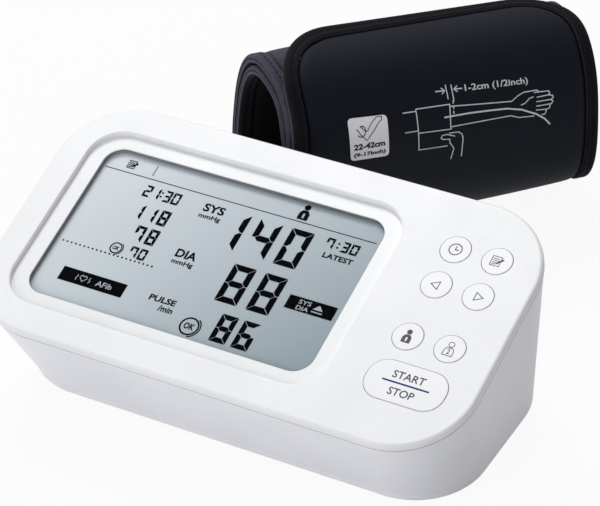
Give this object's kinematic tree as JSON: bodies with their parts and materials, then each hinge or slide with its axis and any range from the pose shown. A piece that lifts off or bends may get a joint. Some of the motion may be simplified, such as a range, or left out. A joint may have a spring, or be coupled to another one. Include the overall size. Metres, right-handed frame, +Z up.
{
  "type": "upper-arm blood pressure monitor",
  "caption": "Desktop blood pressure monitor with a tilted face, recessed display, round keys and an oblong start key, with its rolled fabric arm cuff standing behind it.",
  "frame": {"origin": "on the table, midway between the four rubber feet of the monitor", "axes": "+X to the user's right, +Y away from the user, +Z up"},
  "size_m": [0.22, 0.2772, 0.1129],
  "materials": {
    "cover_white": "satin",
    "base_white": "satin",
    "frame_white": "satin",
    "lens_clear": "polished",
    "lcd_glass": "matte",
    "holder_white": "matte",
    "connector_pink": "matte",
    "board_green": "satin",
    "steel": "satin",
    "switch_black": "matte",
    "mat_grey": "matte",
    "key_white": "satin",
    "chip_black": "matte",
    "cell_wrap": "gloss",
    "contact_steel": "polished",
    "jack_black": "satin",
    "foot_rubber": "matte",
    "manifold_white": "satin",
    "tube_silicone": "satin",
    "sensor_black": "satin",
    "motor_steel": "satin",
    "pump_black": "satin",
    "cover_fabric": "matte",
    "inner_fabric": "matte",
    "binding_fabric": "matte",
    "former_plastic": "satin",
    "bladder_rubber": "satin",
    "felt": "matte",
    "hook_fabric": "matte",
    "label_grey": "matte",
    "port_grey": "satin"
  },
  "bodies": {
    "monitor": {"top_cover": "cover_white", "base_case": "base_white", "display_frame": "frame_white", "display_lens": "lens_clear", "lcd_panel": "lcd_glass", "lcd_holder": "holder_white", "lcd_connector": "connector_pink", "main_board": "board_green", "board_screws": "steel", "tact_switches": "switch_black", "keypad_mat": "mat_grey", "board_components": "chip_black", "batteries": "cell_wrap", "battery_contacts": "contact_steel", "dc_jack": "jack_black", "rubber_feet": "foot_rubber", "case_screws": "steel", "air_jack": "jack_black", "air_manifold": "manifold_white", "air_tubes": "tube_silicone", "pressure_sensor": "sensor_black", "pump_motor": "motor_steel", "pump_head": "pump_black", "pump_cradle": "foot_rubber", "exhaust_valve": "pump_black"},
    "button_clock": {"button_clock": "key_white"},
    "button_memo": {"button_memo": "key_white"},
    "button_left": {"button_left": "key_white"},
    "button_right": {"button_right": "key_white"},
    "button_user_1": {"button_user_1": "key_white"},
    "button_user_2": {"button_user_2": "key_white"},
    "start_stop_button": {"start_stop_button": "key_white"},
    "battery_cover": {"battery_cover": "base_white"},
    "pump_shaft": {"pump_shaft": "steel"},
    "valve_plunger": {"valve_plunger": "steel"},
    "cuff": {"cuff_outer_cover": "cover_fabric", "cuff_inner_cover": "inner_fabric", "cuff_binding": "binding_fabric", "cuff_former": "former_plastic", "cuff_bladder": "bladder_rubber", "cuff_interlining": "felt", "hook_patch": "hook_fabric", "cuff_label": "label_grey", "cuff_air_port": "port_grey"}
  },
  "joints": [
    {"name": "button_clock_press", "type": "slide", "parent": "monitor", "child": "button_clock", "axis": [0, 0.3173, -0.9483], "range_m": [0, 0.0008], "stiffness_N_per_m": 1500},
    {"name": "button_memo_press", "type": "slide", "parent": "monitor", "child": "button_memo", "axis": [0, 0.3173, -0.9483], "range_m": [0, 0.0008], "stiffness_N_per_m": 1500},
    {"name": "button_left_press", "type": "slide", "parent": "monitor", "child": "button_left", "axis": [0, 0.3173, -0.9483], "range_m": [0, 0.0008], "stiffness_N_per_m": 1500},
    {"name": "button_right_press", "type": "slide", "parent": "monitor", "child": "button_right", "axis": [0, 0.3173, -0.9483], "range_m": [0, 0.0008], "stiffness_N_per_m": 1500},
    {"name": "button_user_1_press", "type": "slide", "parent": "monitor", "child": "button_user_1", "axis": [0, 0.3173, -0.9483], "range_m": [0, 0.0008], "stiffness_N_per_m": 1500},
    {"name": "button_user_2_press", "type": "slide", "parent": "monitor", "child": "button_user_2", "axis": [0, 0.3173, -0.9483], "range_m": [0, 0.0008], "stiffness_N_per_m": 1500},
    {"name": "start_stop_button_press", "type": "slide", "parent": "monitor", "child": "start_stop_button", "axis": [0, 0.3173, -0.9483], "range_m": [0, 0.0008], "stiffness_N_per_m": 1500},
    {"name": "battery_cover_hinge", "type": "hinge", "parent": "monitor", "child": "battery_cover", "pos_m": [-0.042, 0.02841, 0.0034], "axis": [1, 0, 0], "range_deg": [0, 90]},
    {"name": "pump_spin", "type": "hinge", "parent": "monitor", "child": "pump_shaft", "pos_m": [0.045, 0.014, 0.01745], "axis": [1, 0, 0], "continuous": true},
    {"name": "valve_plunger_slide", "type": "slide", "parent": "monitor", "child": "valve_plunger", "axis": [-1, 0, 0], "range_m": [0, 0.0015], "stiffness_N_per_m": 400},
    {"name": "cuff_lift", "type": "slide", "parent": "monitor", "child": "cuff", "axis": [0, 0, 1], "range_m": [0, 0.2]}
  ]
}
